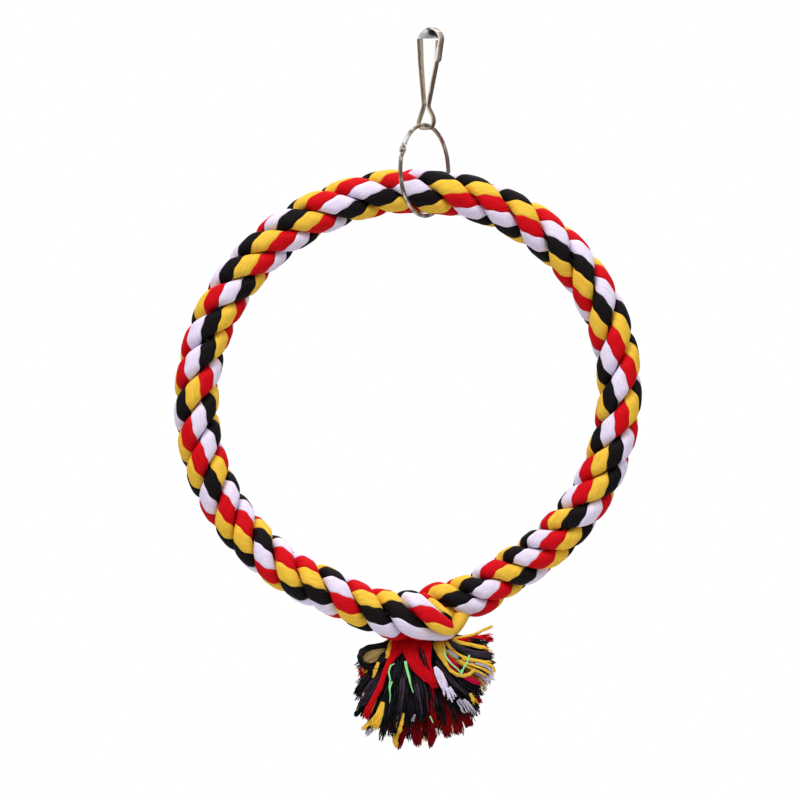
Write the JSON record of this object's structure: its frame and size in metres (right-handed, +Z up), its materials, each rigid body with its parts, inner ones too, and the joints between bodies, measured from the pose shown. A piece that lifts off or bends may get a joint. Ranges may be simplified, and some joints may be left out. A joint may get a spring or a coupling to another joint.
{
  "type": "rope ring bird swing",
  "caption": "Hanging swing for a cage bird: a ring of laid, multicoloured cotton rope with a frayed tassel, hung by an opening link ring from a spring snap hook.",
  "frame": {"origin": "middle of the flat seat under the snap hook's crown, which rests on a cage bar", "axes": "+Z up, +X to the right across the rope ring seen from the front, -Y towards the front"},
  "size_m": [0.2489, 0.0484, 0.3838],
  "materials": {
    "nickel": "nickel plated, bright",
    "core_steel": "plain drawn wire",
    "yarn_red": "soft cotton yarn",
    "yarn_yellow": "soft cotton yarn",
    "yarn_black": "soft cotton yarn",
    "yarn_white": "soft cotton yarn"
  },
  "bodies": {
    "hook": {"snap_hook_body": "nickel"},
    "gate": {"snap_hook_gate": "nickel"},
    "link": {"link_ring_upper_half": "nickel", "link_ring_rivet": "nickel"},
    "link_lower": {"link_ring_lower_half": "nickel"},
    "rope_ring": {"rope_core_wire": "core_steel", "rope_strand_1": "yarn_red", "rope_strand_2": "yarn_yellow", "rope_strand_3": "yarn_white", "tassel_neck": "yarn_red", "tassel_tie": "yarn_white", "tassel_bundle_front_1": "yarn_black", "tassel_bundle_front_2": "yarn_red", "tassel_bundle_front_3": "yarn_black", "tassel_bundle_front_4": "yarn_red", "tassel_bundle_front_5": "yarn_black", "tassel_bundle_front_6": "yarn_yellow", "tassel_bundle_middle_1": "yarn_black", "tassel_bundle_middle_2": "yarn_black", "tassel_bundle_middle_3": "yarn_black", "tassel_bundle_middle_4": "yarn_red", "tassel_bundle_middle_5": "yarn_white", "tassel_bundle_middle_6": "yarn_yellow", "tassel_bundle_back_1": "yarn_black", "tassel_bundle_back_2": "yarn_yellow", "tassel_bundle_back_3": "yarn_red", "tassel_bundle_back_4": "yarn_red", "tassel_bundle_back_5": "yarn_black", "tassel_bundle_back_6": "yarn_red"}
  },
  "joints": [
    {"name": "gate_flex", "type": "hinge", "parent": "hook", "child": "gate", "pos_m": [-0.00326, -0.00065, -0.0344], "axis": [-0.5736, -0.8191, 0], "range_deg": [0, 12], "stiffness_Nm_per_rad": 0.15},
    {"name": "link_swing", "type": "hinge", "parent": "hook", "child": "link", "pos_m": [-0.00433, 0.0001, -0.0452], "axis": [0.5299, 0.848, 0], "range_deg": [-45, 45]},
    {"name": "link_open", "type": "hinge", "parent": "link", "child": "link_lower", "pos_m": [-0.01595, -0.0185, -0.05917], "axis": [-0.848, 0.5299, 0], "range_deg": [0, 40]},
    {"name": "rope_swing", "type": "hinge", "parent": "link", "child": "rope_ring", "pos_m": [-0.00433, 0.0001, -0.0802], "axis": [0.9992, 0, -0.0408], "range_deg": [-45, 45]}
  ]
}
